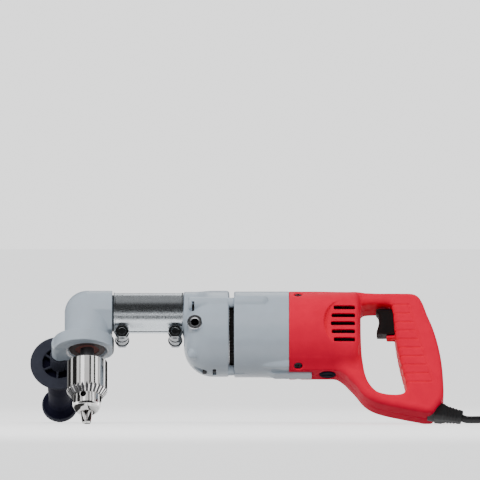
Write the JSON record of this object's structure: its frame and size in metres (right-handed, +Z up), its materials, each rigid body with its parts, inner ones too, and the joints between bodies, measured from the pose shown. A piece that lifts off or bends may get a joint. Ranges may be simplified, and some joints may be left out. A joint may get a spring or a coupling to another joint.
{
  "type": "right angle drill",
  "caption": "Corded right angle drill with a closed rear handle, gear case, swivelling angle head clamped by a split sleeve, side handle and keyed chuck that opens.",
  "frame": {"origin": "middle of the tool's outline on the floor it stands on, cord left out", "axes": "+X along the tube from the chuck to the rear handle, +Z up from the floor, viewer of the picture at -Y"},
  "size_m": [0.6746, 0.2999, 0.157],
  "materials": {
    "cast_grey": "satin grey paint over a die casting",
    "red_shell": "satin moulded shell",
    "black_grip": "moulded grip",
    "black_plastic": "moulded",
    "black_rubber": "soft rubber",
    "tie_strap": "woven strap",
    "sleeve_zinc": "zinc plated",
    "chuck_steel": "polished",
    "dark_steel": "oiled steel",
    "gear_steel": "ground",
    "bronze": "plain",
    "plate_alloy": "as cast",
    "core_iron": "varnished laminations",
    "copper": "enamelled wire",
    "carbon": "pressed carbon",
    "felt": "oiled felt"
  },
  "bodies": {
    "motor_unit": {"gear_case": "cast_grey", "gear_case_plate": "plate_alloy", "gear_case_screws": "dark_steel", "output_bearings": "bronze", "idler_bushes": "bronze", "motor_housing": "cast_grey", "field_core": "core_iron", "field_coils": "copper", "armature_bearings": "dark_steel", "brush_yoke": "black_plastic", "brush_tubes": "bronze", "carbon_brushes": "carbon", "brush_caps": "black_plastic", "handle_left": "red_shell", "handle_right": "red_shell", "handle_screws": "dark_steel", "shell_screws": "dark_steel", "switch_body": "black_plastic", "cord_boot": "black_rubber", "cord_lead": "black_rubber", "cord_coil": "black_rubber", "cord_tail": "black_rubber", "cord_tie": "tie_strap", "plug_body": "black_rubber", "plug_pins": "bronze"},
    "head": {"angle_head_casing": "cast_grey", "clamp_sleeve": "sleeve_zinc", "clamp_bolts": "sleeve_zinc", "clamp_nuts": "sleeve_zinc", "side_handle_grip": "black_grip", "side_handle_stud": "dark_steel", "input_bearings": "bronze", "spindle_bearings": "dark_steel", "bearing_retainer": "dark_steel", "spindle_seal": "felt"},
    "input": {"input_shaft": "gear_steel", "bevel_pinion": "gear_steel"},
    "chuck": {"chuck_spindle": "dark_steel", "bevel_gear": "gear_steel", "chuck_body": "chuck_steel"},
    "chuck_ring": {"chuck_sleeve": "chuck_steel", "chuck_nut": "dark_steel"},
    "jaw_1": {"chuck_jaw_1": "chuck_steel"},
    "jaw_2": {"chuck_jaw_2": "chuck_steel"},
    "jaw_3": {"chuck_jaw_3": "chuck_steel"},
    "output": {"output_spindle": "gear_steel", "output_gear": "gear_steel"},
    "idler": {"idler_shaft": "gear_steel", "idler_gear": "gear_steel"},
    "armature": {"armature_shaft": "gear_steel", "armature_core": "core_iron", "commutator": "copper", "cooling_fan": "black_plastic"},
    "trigger": {"trigger": "black_plastic"}
  },
  "joints": [
    {"name": "armature_spin", "type": "hinge", "parent": "motor_unit", "child": "armature", "pos_m": [0.0281, -0.05267, 0.10248], "axis": [1, 0, 0], "continuous": true},
    {"name": "idler_spin", "type": "hinge", "parent": "motor_unit", "child": "idler", "pos_m": [-0.0319, -0.03142, 0.10452], "axis": [1, 0, 0], "continuous": true},
    {"name": "output_spin", "type": "hinge", "parent": "motor_unit", "child": "output", "pos_m": [-0.0519, -0.04175, 0.12673], "axis": [1, 0, 0], "continuous": true},
    {"name": "head_swivel", "type": "hinge", "parent": "motor_unit", "child": "head", "pos_m": [-0.1719, -0.04175, 0.12673], "axis": [1, 0, 0], "continuous": true},
    {"name": "input_spin", "type": "hinge", "parent": "head", "child": "input", "pos_m": [-0.1719, -0.04175, 0.12673], "axis": [1, 0, 0], "continuous": true},
    {"name": "chuck_spin", "type": "hinge", "parent": "head", "child": "chuck", "pos_m": [-0.1719, -0.04175, 0.12673], "axis": [0, 0.4105, 0.9119], "continuous": true},
    {"name": "sleeve_turn", "type": "hinge", "parent": "chuck", "child": "chuck_ring", "pos_m": [-0.1719, -0.04175, 0.12673], "axis": [0, -0.4105, -0.9119], "range_deg": [0, 2880]},
    {"name": "jaw_1_slide", "type": "slide", "parent": "chuck", "child": "jaw_1", "axis": [0.147, 0.2675, 0.9523], "range_m": [0, 0.028]},
    {"name": "jaw_2_slide", "type": "slide", "parent": "chuck", "child": "jaw_2", "axis": [0.0538, 0.5847, 0.8095], "range_m": [0, 0.028]},
    {"name": "jaw_3_slide", "type": "slide", "parent": "chuck", "child": "jaw_3", "axis": [-0.2008, 0.3525, 0.914], "range_m": [0, 0.028]},
    {"name": "trigger_pull", "type": "slide", "parent": "motor_unit", "child": "trigger", "axis": [1, 0, 0], "range_m": [0, 0.007], "stiffness_N_per_m": 1500, "springref_m": -0.003}
  ],
  "couplings": [
    {"joint": "idler_spin", "follows": "armature_spin", "ratio": -0.17308},
    {"joint": "output_spin", "follows": "armature_spin", "ratio": 0.044379},
    {"joint": "input_spin", "follows": "armature_spin", "ratio": 0.044379},
    {"joint": "chuck_spin", "follows": "armature_spin", "ratio": 0.029586},
    {"joint": "jaw_1_slide", "follows": "sleeve_turn", "m_per_rad": 0.00055704},
    {"joint": "jaw_2_slide", "follows": "sleeve_turn", "m_per_rad": 0.00055704},
    {"joint": "jaw_3_slide", "follows": "sleeve_turn", "m_per_rad": 0.00055704}
  ]
}
